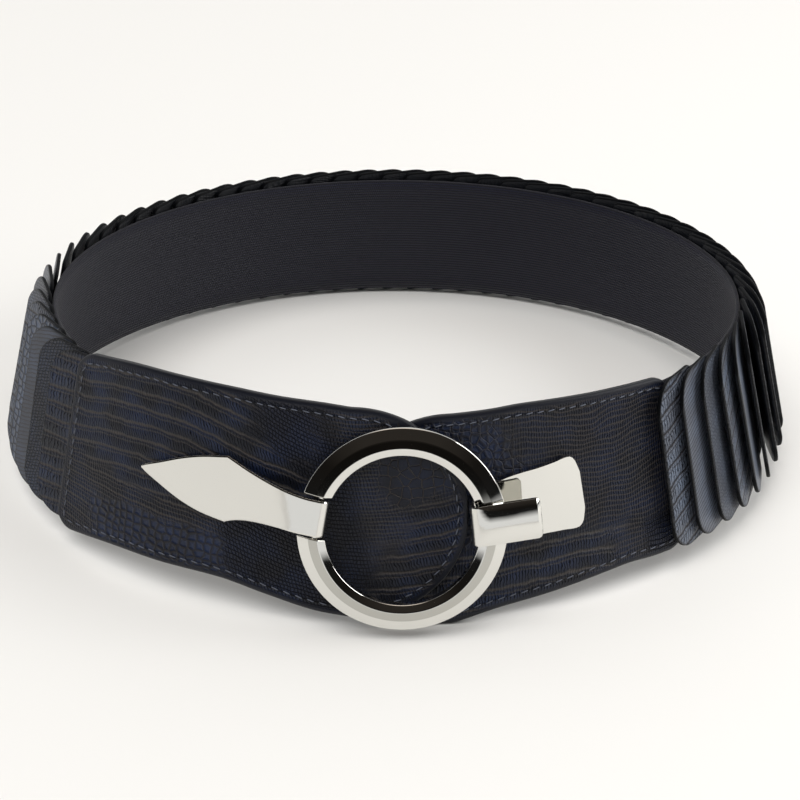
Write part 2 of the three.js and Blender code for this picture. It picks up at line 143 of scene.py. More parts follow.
def newMaterial(name):
    material = bpy.data.materials.new(name)
    material.use_nodes = True
    tree = material.node_tree
    tree.nodes.clear()
    output = node(tree, "OutputMaterial")
    shader = node(tree, "BsdfPrincipled")
    tree.links.new(shader.outputs[0], output.inputs[0])
    return material, tree, shader


def math2(tree, operation, a, b=0.0, c=0.0):
    return node(tree, "Math", {"operation": operation}, i0=a, i1=b, i2=c).outputs[0]


# Takes a value from the range low to high to the range first to last
def mapRange(tree, value, low, high, kind="LINEAR", first=0.0, last=1.0):
    ends = {"From_Min": low, "From_Max": high, "To_Min": first, "To_Max": last}
    return node(tree, "MapRange", {"interpolation_type": kind}, Value=value, **ends).outputs[0]


def mixColours(tree, share, a, b):
    return node(tree, "Mix", {"data_type": "RGBA"}, i0=share, i6=a, i7=b).outputs[2]


# Each colour is a pair: on the panels, and on the plates' paler leather, whose share carries painted light too.
# Widths and pitches are in millimetres
leatherLook = {
    "flat": ("#12141d", "#565b66"),
    # the blue tone is partly random patches and partly a painted sheen on the pebbles' domes
    "blue": ("#1b2640", "#687385"),
    "ridge": ("#3d3937", "#2d2a2b"),
    # the groove colour is painted shade, laid into the hollows of the relief
    "groove": ("#050609", "#15171c"),
    "roughness": 0.42,
    "gloss": 0.3,
    "dulling": 0.85,
    "edgeShade": 0.4,
    "edgeShadeWidth": 1.5,
    "relief": 0.5,
    "bandPitch": 6.0,
    "bandLine": 0.85,
    "secondLine": 0.5,
    "secondShift": 1.7,
    "bandWander": 2.4,
    "ribPitch": 1.1,
    "rowPitch": 1.75,
    "rowLine": 0.42,
    "longLine": 0.6,
    "rowWander": 2.2,
    "beadPitch": 1.15,
    "beadGap": 0.34,
    "pebble": 3.1,
    "net": 3.6,
    "rim": 2.2,
    "channel": 3.6,
    "channelWidth": 0.8,
}


# Embossed coated leather. Each vertex tells where it lies on the piece and how far from the edge (surface),
# the run of the bands (bands: along, across, and how pale the leather is there, partly painted light on the plates),
# of the rows (rows: along, across, and 1 for ruled lines, 0 for beads) and how much of each pattern shows (kinds:
# bands, rows, pebbles; the rest is a net of fine lines)
def embossedLeather(name, look):
    material, tree, shader = newMaterial(name)

    def spread(attribute):
        vector = node(tree, "Attribute", {"attribute_name": attribute}).outputs["Vector"]
        return node(tree, "SeparateXYZ", i0=vector).outputs, vector

    def multiply(a, b):
        return math2(tree, "MULTIPLY", a, b)

    def multiplyAdd(a, b, c):
        return math2(tree, "MULTIPLY_ADD", a, b, c)

    def subtract(a, b):
        return math2(tree, "SUBTRACT", a, b)

    def larger(a, b):
        return math2(tree, "MAXIMUM", a, b)

    def mix1(share, a, b):
        return node(tree, "Mix", i0=share, i2=a, i3=b).outputs[0]

    def noise(scale, detail=2.0):
        return node(tree, "TexNoise", Vector=flatWhere, Scale=scale, Detail=detail).outputs["Fac"]

    # 1 at a line and 0 from a width away from it
    def lineAt(distance, width):
        return mapRange(tree, distance, 0.0, width, "SMOOTHSTEP", 1.0, 0.0)

    def linesAlong(value, pitch, width, shift=0.0):
        return lineAt(math2(tree, "PINGPONG", math2(tree, "ADD", value, shift), pitch / 2), width)

    def cellEdges(size, uneven):
        kind = {"feature": "DISTANCE_TO_EDGE", "voronoi_dimensions": "2D"}
        return node(tree, "TexVoronoi", kind, Vector=stirred, Scale=1 / size, Randomness=uneven).outputs[0]

    def tone(key):
        return mixColours(tree, pale, colour(look[key][0]), colour(look[key][1]))

    (_, _, toEdge), where = spread("surface")
    (alongBand, acrossBand, pale), _ = spread("bands")
    (alongRow, acrossRow, ruled), _ = spread("rows")
    (bandPart, rowPart, pebblePart), _ = spread("kinds")
    flatWhere = node(tree, "VectorMath", {"operation": "MULTIPLY"}, i0=where, i1=(1, 1, 0)).outputs[0]

    # a little unevenness, so that no line is quite straight and no two cells are alike
    wander = subtract(noise(0.1), 0.5)
    fidget = subtract(noise(0.45, 1.0), 0.5)
    stir = node(tree, "CombineXYZ", i0=wander, i1=fidget).outputs[0]
    stirred = node(tree, "VectorMath", {"operation": "MULTIPLY_ADD"}, i0=stir, i1=(3, 1, 0), i2=flatWhere).outputs[0]

    # bands: a broad light ridge, a finer one beside it and ribs across, deeper in the middle of a band
    across = multiplyAdd(wander, look["bandWander"], multiplyAdd(fidget, 0.7, acrossBand))
    along = multiplyAdd(fidget, 1.6, alongBand)
    border = linesAlong(across, look["bandPitch"], look["bandLine"])
    second = linesAlong(across, look["bandPitch"], look["secondLine"], look["secondShift"])
    borders = larger(border, multiply(second, 0.6))
    middle = linesAlong(across, look["bandPitch"], look["bandPitch"] * 0.42, look["bandPitch"] / 2)
    ribs = linesAlong(along, look["ribPitch"], look["ribPitch"] * 0.3)
    ribDepth = multiply(ribs, multiplyAdd(middle, 0.55, 0.45))
    bandHeight = multiplyAdd(ribDepth, -0.6, multiplyAdd(middle, -0.25, borders))

    # rows: either light raised lines with fine ribs between them, or rows of beads with dark gaps
    rowAcross = multiplyAdd(wander, look["rowWander"], multiplyAdd(fidget, 0.6, acrossRow))
    rowAlong = multiplyAdd(fidget, 1.3, alongRow)
    rowLine = linesAlong(rowAcross, look["rowPitch"], look["rowLine"])
    onlyRuled = mapRange(tree, ruled, 0.5, 1.0)
    longLine = multiply(linesAlong(rowAcross, look["rowPitch"] * 3, look["longLine"], 0.3), onlyRuled)
    beadGap = linesAlong(rowAlong, look["beadPitch"], look["beadGap"])
    beadGroove = larger(rowLine, multiply(beadGap, 0.85))
    ruledHeight = multiplyAdd(beadGap, -0.5, larger(multiply(rowLine, 0.5), longLine))
    rowHeight = mix1(ruled, subtract(0.8, multiply(beadGroove, 0.9)), ruledHeight)

    # pebbles: domes with sunk outlines; net: thin raised lines round flat cells
    pebbles = cellEdges(look["pebble"], 0.55)
    groove = lineAt(pebbles, 0.15)
    dome = mapRange(tree, pebbles, 0.0, 0.36, "SMOOTHERSTEP")
    netLine = lineAt(cellEdges(look["net"], 0.7), 0.1)
    netPart = larger(subtract(subtract(subtract(1.0, bandPart), rowPart), pebblePart), 0.0)

    # the rim outside the stitches is smooth, and the thread lies in a shallow channel
    calm = mapRange(tree, toEdge, look["rim"] - 0.9, look["rim"] + 0.5, "SMOOTHSTEP")
    channel = lineAt(math2(tree, "ABSOLUTE", subtract(toEdge, look["channel"])), look["channelWidth"])

    def blend(bands, rows, pebbled, net):
        total = multiply(bandPart, bands)
        for part, value in ((rowPart, rows), (pebblePart, pebbled), (netPart, net)):
            total = multiplyAdd(part, value, total)
        return multiply(total, calm)

    grain = noise(2.2, 3.0)
    height = blend(bandHeight, rowHeight, multiply(dome, 0.9), netLine)
    height = multiplyAdd(grain, 0.2, multiplyAdd(channel, -0.5, height))
    rowShade = larger(multiply(rowLine, mapRange(tree, ruled, 0.0, 0.5, last=0.8)), longLine)
    lines = blend(multiply(borders, 0.95), rowShade, multiply(groove, 0.3), multiply(netLine, 0.8))
    # rib hollows, bead gaps and pebble outlines are painted towards the groove colour: painted shade in the recesses
    beadShade = mix1(ruled, multiply(beadGroove, 0.85), multiply(beadGap, 0.7))
    dark = blend(ribDepth, beadShade, multiply(groove, 0.6), 0.15)
    # the noise patches, stronger in the middle of the bands, are bluish tone that differs at random; the pebbles'
    # domes are painted bluer too, a painted sheen on their tops
    bandTint = multiplyAdd(multiply(bandPart, middle), 0.4, 0.5)
    patches = multiply(mapRange(tree, noise(0.07, 1.0), 0.4, 0.66), bandTint)
    domeSheenAndPatches = multiplyAdd(multiply(pebblePart, dome), 0.4, patches)

    deepest = colour(look["groove"][0])
    base = mixColours(tree, multiply(domeSheenAndPatches, calm), tone("flat"), tone("blue"))
    # painted shade: the recesses darkened towards the groove colour
    base = mixColours(tree, dark, base, tone("groove"))
    base = mixColours(tree, lines, base, tone("ridge"))
    base = mixColours(tree, multiply(channel, 0.6), base, deepest)
    base = mixColours(tree, multiply(lineAt(toEdge, look["edgeShadeWidth"]), look["edgeShade"]), base, deepest)
    bump = node(tree, "Bump", Strength=1.0, Distance=look["relief"] * metre, Height=height)
    rough = multiplyAdd(grain, 0.12, look["roughness"] - 0.06)
    # less light comes back out of the sunk parts, and off the bars of the pale leather
    dull = larger(dark, multiply(lines, pale))
    gloss = multiplyAdd(dull, -look["dulling"] * look["gloss"], look["gloss"])
    tree.links.new(base, shader.inputs["Base Color"])
    tree.links.new(bump.outputs[0], shader.inputs["Normal"])
    tree.links.new(rough, shader.inputs["Roughness"])
    tree.links.new(gloss, shader.inputs["Specular IOR Level"])
    return material


def plain(name, base, roughness, metallic=0.0, gloss=0.5, grainScale=0.0, grainDepth=0.0):
    material, tree, shader = newMaterial(name)
    shader.inputs["Base Color"].default_value = colour(base)
    shader.inputs["Roughness"].default_value = roughness
    shader.inputs["Metallic"].default_value = metallic
    shader.inputs["Specular IOR Level"].default_value = gloss
    if grainScale:
        place = node(tree, "TexCoord").outputs["Object"]
        grain = node(tree, "TexNoise", Vector=place, Scale=grainScale, Detail=2.0).outputs["Fac"]
        bump = node(tree, "Bump", Strength=1.0, Distance=grainDepth * metre, Height=grain)
        tree.links.new(bump.outputs[0], shader.inputs["Normal"])
    return material


# embossed faux leather, dark and softly glossy, with light lines, bluish patches and a painted bluish sheen on its
# pebbles' domes
panelLeather = embossedLeather("embossed navy leather", leatherLook)
plateLook = dict(leatherLook, rim=0.4, channel=-9.0, gloss=0.4, edgeShade=0.95)
# the plates' leather, paler and a little glossier, dark at its edges; its paleness is partly painted light, lighter
# on the right side
plateLeather = embossedLeather("embossed plate leather", plateLook)
# the painted cut edges, which draw dark outlines round the leather
edgePaint = plain("edge paint", "#0d0f15", 0.36, gloss=0.35)
# the plates' edges are matt black and draw the dark line along each plate
plateEdge = plain("plate edge paint", "#060709", 0.6, gloss=0.12)
# the grey stitches, lighter than the leather, and the dark dots between them, painted shade standing for the needle
# holes
threadMaterial = plain("waxed thread", "#515560", 0.6)
holeShade = plain("needle hole shade", "#050608", 0.9)
# polished nickel, the bright buckle
nickelFinish = {"metallic": 1.0, "grainScale": 90.0, "grainDepth": 0.05}
nickel = plain("polished nickel", "#dddcd7", 0.06, **nickelFinish)
# a darker copy of polished nickel for the ring's shallow inner slope, which looks a tone darker: painted shade,
# standing in for a darker reflection
nickelPaintedShade = plain("polished nickel, painted shade", "#b7b6b0", 0.08, **nickelFinish)
print("materials made")


# Makes a mesh of the object that rides on the belt and stands for CAD nodes
def addPiece(name, points, faces, nodes, materials, faceMaterials=None, vectors=None):
    mesh = bpy.data.meshes.new(name)
    mesh.from_pydata((np.asarray(points).reshape(-1, 3) * metre).tolist(), [], faces)
    for material in materials:
        mesh.materials.append(material)
    if faceMaterials is not None:
        mesh.polygons.foreach_set("material_index", np.asarray(faceMaterials, np.int32))
    mesh.polygons.foreach_set("use_smooth", np.full(len(mesh.polygons), True))
    for key, values in (vectors or {}).items():
        attribute = mesh.attributes.new(key, "FLOAT_VECTOR", "POINT")
        attribute.data.foreach_set("vector", np.asarray(values, np.float32).ravel())
    mesh.update()
    made = bpy.data.objects.new(name, mesh)
    bpy.context.scene.collection.objects.link(made)
    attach(made, "root")
    if nodes:
        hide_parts(*nodes)
    return made


# The slabs' rounding, how many of its faces are painted, the chamfer at the back and the most that an end draws in
slabLook = {"rimSteps": 5, "paintedFaces": 4, "backChamfer": 0.4, "endInset": 0.45}


# A thin slab: columns along it, each a closed section from its bottom edge over the front to its top edge and back
def slab(columns, outline, thick, rim, rowCount, put, ends):
    bottom, top = outline(columns)
    middle, half = (top + bottom) / 2, (top - bottom) / 2
    wide = np.minimum(rim["width"], half * 0.6)
    toEnd = np.minimum(columns - ends[0], ends[1] - columns)
    inset = rim["depth"] - np.sqrt(np.maximum(0, rim["depth"] ** 2 - np.maximum(0, rim["depth"] - toEnd) ** 2))
    inset = np.minimum(inset, thick * slabLook["endInset"])
    heights, depths, edge = [], [], []
    quarter = np.radians(np.linspace(0, 90, slabLook["rimSteps"] + 1))
    back, none = slabLook["backChamfer"], 0 * half

    def addPoint(height, depth, edgeDistance):
        heights.append(height)
        depths.append(np.clip(depth, inset, thick - inset))
        edge.append(edgeDistance)

    def addRounding(turn, side):
        lift = wide * (1 - math.cos(turn))
        addPoint(side * (half - lift), thick - rim["depth"] + rim["depth"] * math.sin(turn), lift)

    addPoint(-(half - back), none, none)
    addPoint(-half, back + none, none)
    for turn in quarter:
        addRounding(turn, -1)
    for w in np.linspace(-1, 1, rowCount + 1)[1:-1]:
        addPoint(w * (half - wide), thick + none, half - np.abs(w) * (half - wide))
    for turn in quarter[::-1]:
        addRounding(turn, 1)
    addPoint(half, back + none, none)
    addPoint(half - back, none, none)
    heights = np.array(heights).T + middle[:, None]
    depths, edge = np.array(depths).T, np.array(edge).T
    edge = np.minimum(edge, toEnd[:, None])
    count = heights.shape[1]
    along = np.repeat(columns[:, None], count, 1)
    points = put(along, heights, depths)
    faces, materials = [], []
    paint = slabLook["paintedFaces"]
    for i in range(len(columns) - 1):
        for j in range(count):
            k = (j + 1) % count
            faces.append((i * count + j, (i + 1) * count + j, (i + 1) * count + k, i * count + k))
            materials.append(1 if j < paint or count - 1 - paint <= j < count - 1 else 0)
    last = (len(columns) - 1) * count
    faces.append(tuple(range(count)))
    faces.append(tuple(range(last + count - 1, last - 1, -1)))
    materials += [1, 1]
    return points, faces, materials, along, heights, edge


# What embossedLeather reads at each vertex, from the relief's bands, rows and shares of each pattern
def reliefVectors(place, relief, pale):
    (alongBand, acrossBand), (alongRow, acrossRow, ruled), bands, rows, pebbles = relief
    return {
        "surface": np.stack(place, -1),
        "bands": np.stack([alongBand, acrossBand, pale + 0 * alongBand], -1),
        "rows": np.stack([alongRow, acrossRow, ruled], -1),
        "kinds": np.stack([bands, rows, pebbles], -1),
    }


# Front panels: the edge tables are shares of the reach and of half the width, as in the part
panelLook = {
    "width": 79,
    "leftReach": 133.4,
    "rightReach": 108,
    "leftEndLift": 1.1,
    "leftLiftLength": 16,
    "thickness": 2.8,
    "cornerRadius": 8,
    "roundEndCentre": 16.6,
    "edgeWidth": 1.5,
    "edgeWidth": 1.5,
    "edgeDepth": 1.0,
    "rowsAcross": 110,
    "stitchInset": 3.6,
    "stitchPitch": 4.2,
    "stitchLength": 2.7,
    "stitchSlant": 8,
    "stitchSunk": 0.12,
    "threadWidth": 0.27,
    "threadHeight": 0.36,
    "holeLength": 1.1,
    "holeWidth": 0.45,
    "holeHeight": 0.1,
}
leftRows = [
    (0.135, 0.98, -1.005), (0.22, 1.008, -0.967), (0.34, 1.025, -0.87), (0.47, 1.045, -0.785),
    (0.66, 1.04, -0.79), (0.8, 1.01, -0.81), (1, 0.9, -0.915),
]
rightRows = [
    (0.17, 0.893, -1.1), (0.3, 0.91, -1.0), (0.42, 0.93, -0.945), (0.74, 0.905, -0.83),
    (0.88, 0.885, -0.85), (1, 0.86, -0.86),
]


def panelOutline(rows, reach, inset=0.0):
    half = panelLook["width"] / 2
    centre, corner = panelLook["roundEndCentre"], panelLook["cornerRadius"] - inset * 0.6

    def outline(x):
        top = half * smoothColumn(rows, x / reach, 1) - inset
        bottom = half * smoothColumn(rows, x / reach, 2) + inset
        toEnd = np.clip(reach - inset - x, 0, corner)
        drop = corner - np.sqrt(np.maximum(0, corner**2 - (corner - toEnd) ** 2))
        share = np.sqrt(np.clip(1 - (np.maximum(0, centre - x) / (half - inset)) ** 2, 0, 1))
        middle, tall = (top + bottom) / 2, (top - bottom) / 2
        return middle - tall * share + drop, middle + tall * share - drop

    return outline


# How the relief runs: heights of the bands' and rows' lines at distances from the ring's centre
leftBands = [
    (-140, -7.0), (-126, -4.4), (-113, -1.5), (-100, 0.0), (-82, 0.2), (-68, -2.5), (-58, -5.5), (-35, -12.5),
    (-25, -15.6), (-14, -17.4), (-3, -17.2), (8, -15.4), (24, -12.2),
]
leftRowsRun = [
    (-140, 1.5), (-118, 0.5), (-100, -0.4), (-85, -1.2), (-66, -3.5), (-55, -7.0), (-35, -14.5), (-26, -16.6),
    (-12, -17.0), (6, -15.2), (24, -12.5),
]
rightBands = [
    (-40, -3.0), (0, -2.6), (20, -1.8), (33, -1.1), (50, 0.3), (60, 0.9), (70, 0.6), (81, -0.8), (93, -1.8),
    (110, -3.0),
]
rightRowsRun = [(-40, 4.0), (30, 1.5), (55, -0.4), (70, -1.0), (85, -0.4), (108, 1.2)]


# Wandering edges between the kinds of relief
def drift(s, v):
    return 2.2 * np.sin(s / 4.1 + v / 5.3) + 1.4 * np.sin(s / 2.3 - v / 3.1 + 1.7)


def leftRelief(x, v):
    s = -x
    wave = drift(s, v)
    bandAcross = v - 30.8 - smoothColumn(leftBands, s, 1)
    fanned = smoothColumn(leftRowsRun, s, 1) * (0.9 + 0.012 * (v + 20))
    rowAcross = v - fanned + 0.16 * np.maximum(0, -s - 112) * (v + 17) / 14
    # the upper bands end where the lower field starts, which falls under the leaf plate
    lowerEdge = np.interp(s, [-135, -118, -95, -60, -45, -34, -28], [0, -3, -6, -4, -2, 3, 8])
    outer = 1 - smoothStep(-36, -26, s + 0.6 * wave)
    bands = outer * smoothStep(-2.5, 2.5, v - lowerEdge + 0.5 * wave)
    scales = outer * smoothStep(13, 21, v + 0.4 * (s + 40) + wave) * smoothStep(-62, -46, s)
    pebbles = outer * smoothStep(-123, -114, s + wave) * (1 - smoothStep(-66, -56, s + wave))
    pebbles = pebbles * (1 - smoothStep(-15.5, -10.5, v + 0.35 * wave + 0.06 * np.abs(s + 92)))
    inner = 1 - outer
    net = inner * smoothStep(-12, -2, s + wave) * smoothStep(1, 6, v - 0.2 * s + 0.5 * wave)
    broad = inner * smoothStep(-8, 6, s - 0.5 * v - 4 + wave) * (1 - smoothStep(-1, 4, v - 0.2 * s + 0.5 * wave))
    bands = np.clip(bands * (1 - scales) + broad, 0, 1)
    pebbles = pebbles * (1 - bands)
    rows = np.clip(1 - bands - pebbles - net, 0, 1)
    ruled = np.clip(1 - smoothStep(-70, -60, s) + smoothStep(-20, -6, s + 0.3 * v) * 0.8, 0, 1)
    return (s + 0.35 * v, bandAcross), (s + 0.25 * v, rowAcross, ruled), bands, rows, pebbles


def rightRelief(x, v):
    s = x
    wave = drift(s, v)
    bandAcross = (v + 16.9 - smoothColumn(rightBands, s, 1)) * 6 / 6.8
    waves = 0.7 * np.sin(s / 6 + v / 9) + 0.35 * np.sin(s / 2.6 - v / 4)
    rowAcross = (v - smoothColumn(rightRowsRun, s, 1) + waves) * 0.9
    lower = 1 - smoothStep(-17, -13, v - 0.04 * s + 2 + 0.3 * wave)
    bands = lower * (1 - smoothStep(70, 86, s + wave))
    net = (1 - lower) * (1 - smoothStep(38, 50, s + 0.5 * (v - 20) + wave))
    rows = np.clip(1 - bands - net, 0, 1)
    ruled = 0.6 - 0.6 * smoothStep(84, 92, s + 0.3 * wave) * (1 - smoothStep(-20, -14, v))
    return (s, bandAcross), (s * 1.15, rowAcross, ruled), bands, rows, 0.6 * net


# Distance of points from a closed line, in the plane of the leather
def distanceFrom(line, x, v):
    ahead = np.roll(line, -1, axis=0) - line
    length = np.maximum((ahead**2).sum(1), 1e-9)
    nearest = np.empty(x.size)
    points = np.stack([x.ravel(), v.ravel()], 1)
    for start in range(0, len(points), 4000):
        some = points[start : start + 4000, None] - line[None]
        share = np.clip((some * ahead).sum(2) / length, 0, 1)
        nearest[start : start + 4000] = np.sqrt(((some - ahead * share[..., None]) ** 2).sum(2)).min(1)
    return nearest.reshape(x.shape)


# The outline of a panel as a closed line, and the same line moved in
def panelLine(rows, reach):
    centre, half, corner = panelLook["roundEndCentre"], panelLook["width"] / 2, panelLook["cornerRadius"]
    x = np.concatenate([
        centre - half * np.cos(np.radians(np.linspace(0.5, 90, 60))),
        np.linspace(centre, reach - corner, 120)[1:],
        reach - corner + corner * np.sin(np.radians(np.linspace(4, 90, 20))),
    ])
    bottom, top = panelOutline(rows, reach)(x)
    return np.concatenate([np.stack([x, bottom], 1), np.stack([x, top], 1)[::-1]])


def movedIn(line, inset):
    way = np.roll(line, -1, axis=0) - np.roll(line, 1, axis=0)
    way /= np.maximum(np.linalg.norm(way, axis=1, keepdims=True), 1e-9)
    moved = line + np.stack([-way[:, 1], way[:, 0]], 1) * inset
    kept = moved[distanceFrom(line, moved[:, 0], moved[:, 1]) > inset * 0.97]
    return np.concatenate([kept, kept[:1]])


# Short rounded stitches along a path on the leather, and dark dots between them, painted shade standing for the
# needle holes
def stitches(path, put):
    steps = np.linalg.norm(np.diff(path, axis=0), axis=1)
    length = np.concatenate([[0], np.cumsum(steps)])
    count = int(length[-1] / panelLook["stitchPitch"])
    slant = math.radians(panelLook["stitchSlant"])
    c, s = math.cos(slant), math.sin(slant)
    points, faces, materials = [], [], []
    around, rings = 8, 7

    def at(distance):
        distance = distance % length[-1]
        return np.array([np.interp(distance, length, path[:, 0]), np.interp(distance, length, path[:, 1])])

    for i in range(count):
        middle = (i + 0.5) * length[-1] / count
        for isHole in (False, True):
            centre = at(middle + (panelLook["stitchPitch"] / 2 if isHole else 0))
            ahead, behind = at(middle + 0.6), at(middle - 0.6)
            way = (ahead - behind) / max(np.linalg.norm(ahead - behind), 1e-6)
            way = np.array([way[0] * c - way[1] * s, way[0] * s + way[1] * c])
            side = np.array([-way[1], way[0]])
            long = panelLook["holeLength" if isHole else "stitchLength"] / 2
            wide = panelLook["holeWidth" if isHole else "threadWidth"]
            tall = panelLook["holeHeight" if isHole else "threadHeight"]
            start = len(points)
            for r in range(rings):
                t = math.pi * r / (rings - 1)
                reach, girth = -math.cos(t), max(math.sin(t), 0.0) ** 0.5
                for a in range(around):
                    turn = 2 * math.pi * a / around
                    spot = centre + way * long * reach + side * wide * girth * math.cos(turn)
                    points.append((spot[0], spot[1], tall * girth * math.sin(turn)))
            for r in range(rings - 1):
                this, following = start + r * around, start + (r + 1) * around
                for a in range(around):
                    b = (a + 1) % around
                    faces.append((this + a, following + a, following + b, this + b))
                    materials.append(1 if isHole else 0)
    points = np.array(points)
    return put(points[:, 0], points[:, 1], points[:, 2]), faces, materials


def frontPanel(name, cadName, rows, reach, side, offset, endLift, relief):
    half, thick = panelLook["width"] / 2, panelLook["thickness"]
    centre, corner = panelLook["roundEndCentre"], panelLook["cornerRadius"]
    columns = np.concatenate([
        centre - half * np.cos(np.radians(np.linspace(3, 88, 70))),
        np.linspace(centre, reach - corner, int((reach - corner - centre) / 0.7)),
        reach - corner + corner * np.sin(np.radians(np.linspace(4, 90, 20))),
    ])
    columns = np.unique(columns.round(4))
    rim = {"width": panelLook["edgeWidth"], "depth": panelLook["edgeDepth"]}

    def put(x, v, depth):
        rising = np.clip(1 - (reach - x) / panelLook["leftLiftLength"], 0, 1)
        return stand(onLoop(side * x, v, offset + endLift * rising**2 + depth))

    def putThread(x, v, lift):
        return put(x, v, thick - panelLook["stitchSunk"] + lift)

    outline, ends = panelOutline(rows, reach), (columns[0], reach)
    points, faces, materials, x, v, _ = slab(columns, outline, thick, rim, panelLook["rowsAcross"], put, ends)
    if side > 0:
        faces = [face[::-1] for face in faces]
    line = panelLine(rows, reach)
    vectors = reliefVectors([side * x, v, distanceFrom(line, x, v)], relief(x, v), 0.0)
    addPiece(name + "_leather", points, faces, [cadName], [panelLeather, edgePaint], materials, vectors)
    points, faces, materials = stitches(movedIn(line, panelLook["stitchInset"]), putThread)
    addPiece(name + "_stitching", points, faces, [], [threadMaterial, holeShade], materials)


rightOffset = 1.8
leftOffset = rightOffset + panelLook["thickness"] + room
leftFront = leftOffset + panelLook["thickness"]
frontPanel(
    "front_panel_right", "front_panel_right", rightRows, panelLook["rightReach"], 1, rightOffset, 0, rightRelief
)
frontPanel(
    "front_panel_left", "front_panel_left", leftRows, panelLook["leftReach"], -1, leftOffset,
    panelLook["leftEndLift"], leftRelief,
)
print("front panels made")

# Elastic band, woven with fine ribs along and across it
bandLook = {
    "width": 62, "thickness": 1.5, "tuck": 20, "edge": 0.3, "ribPitch": 1.4, "picks": 0.9,
    "dark": "#08080f", "light": "#1d1e2f", "relief": 0.35,
}
plateSizes = {
    "count": 52, "height": 67, "length": 27, "thickness": 1.6, "freeRadius": 12, "seamRadius": 3,
    "rightSeam": 14.3, "leftSeam": 10.4, "edgeWidth": 0.6, "edgeDepth": 0.6, "rowsAcross": 24,
}
firstSeam = panelLook["rightReach"] + plateSizes["rightSeam"]
lastSeam = loopLength - panelLook["leftReach"] + plateSizes["leftSeam"]


def bandOffset(distance):
    rise = leftOffset - room - bandLook["thickness"]
    return rise * smoothStep(0, bandLook["tuck"] / 2, distance - lastSeam - 1)


# Flat-lit dark blue threads: ribs run along the band, and each next rib's picks are half a step on
def wovenElastic():
    material, tree, shader = newMaterial("woven elastic")
    vector = node(tree, "Attribute", {"attribute_name": "surface"}).outputs["Vector"]
    along, across, _ = node(tree, "SeparateXYZ", i0=vector).outputs
    ribs = math2(tree, "PINGPONG", across, bandLook["ribPitch"] / 2)
    ribNumber = math2(tree, "FLOOR", math2(tree, "DIVIDE", across, bandLook["ribPitch"]))
    shifted = math2(tree, "MULTIPLY_ADD", ribNumber, bandLook["picks"] / 2, along)
    height = math2(tree, "MULTIPLY_ADD", math2(tree, "PINGPONG", shifted, bandLook["picks"] / 2), 0.7, ribs)
    fleck = mapRange(tree, height, 0.1, 0.9)
    base = mixColours(tree, fleck, colour(bandLook["dark"]), colour(bandLook["light"]))
    bump = node(tree, "Bump", Strength=1.0, Distance=bandLook["relief"] * metre, Height=height)
    tree.links.new(base, shader.inputs["Base Color"])
    tree.links.new(bump.outputs[0], shader.inputs["Normal"])
    shader.inputs["Roughness"].default_value = 0.85
    shader.inputs["Sheen Weight"].default_value = 0.1
    return material


def elasticBand():
    start = panelLook["rightReach"] - bandLook["tuck"]
    end = loopLength - panelLook["leftReach"] + bandLook["tuck"] + plateSizes["leftSeam"]
    distance = np.linspace(start, end, int((end - start) / 2.5))
    low = bandOffset(distance)
    half, thick, edge = bandLook["width"] / 2, bandLook["thickness"], bandLook["edge"]
    section = [(-half + edge, 0), (-half, thick / 2), (-half + edge, thick)]
    section += [(v, thick) for v in np.linspace(-half, half, 13)[1:-1]]
    section += [(half - edge, thick), (half, thick / 2), (half - edge, 0)]
    section += [(v, 0) for v in np.linspace(half, -half, 13)[1:-1]]
    height, depth = np.array(section).T
    points = stand(onLoop(distance[:, None], height[None, :], low[:, None] + depth[None, :]))
    n = len(section)
    faces = [
        (i * n + j, i * n + (j + 1) % n, (i + 1) * n + (j + 1) % n, (i + 1) * n + j)
        for i in range(len(distance) - 1) for j in range(n)
    ]
    faces += [tuple(range(n))[::-1], tuple(range((len(distance) - 1) * n, len(distance) * n))]
    surface = np.stack(np.broadcast_arrays(distance[:, None], height[None, :], 0 * height[None, :]), -1)
    vectors = {"surface": surface}
    made = addPiece("elastic_band_woven", points, faces, ["elastic_band"], [wovenElastic()], None, vectors)


elasticBand()
print("elastic made")

# Overlapping plates, each with one of five reliefs
platePitch = (lastSeam - firstSeam) / (plateSizes["count"] - 1)
plateTilt = math.asin((plateSizes["thickness"] + room) / platePitch)


def plateOutline(x):
    half = plateSizes["height"] / 2
    length, free, seam = plateSizes["length"], plateSizes["freeRadius"], plateSizes["seamRadius"]
    dropFree = free - np.sqrt(np.maximum(0, free**2 - np.maximum(0, x - (length - free)) ** 2))
    dropSeam = seam - np.sqrt(np.maximum(0, seam**2 - np.maximum(0, seam - x) ** 2))
    tall = half - dropFree - dropSeam
    return -tall, tall


def plateRelief(kind, x, v, number):
    shift = (number * 2.37) % 6
    whole = 1 + 0 * x
    if kind == "slanted":
        return (x * 0.62, (v + 0.22 * x + shift) * 0.86), (x, v, whole), whole, 0 * x, 0 * x
    if kind == "bars":
        return (x * 0.7, v * 0.92 + shift + 0.06 * x), (x, v, whole), whole, 0 * x, 0 * x
    if kind == "diagonal":
        return (x, v), (0 * x + 0.55, (v + 0.28 * x) * 1.05 + shift, 0.6 * whole), 0 * x, whole, 0 * x
    if kind == "pebbled":
        return (x, v), (x, v, whole), 0 * x, 0 * x, whole
    return (x, v), (v * 0.9 + 0.3 * x, x * 1.1 + 0.15 * v + shift, 0.2 * whole), 0 * x, whole, 0 * x


rightKinds = ["slanted", "diagonal", "grid", "slanted", "diagonal", "grid", "bars", "pebbled"]
leftKinds = ["bars", "grid", "diagonal", "pebbled", "bars", "grid"]


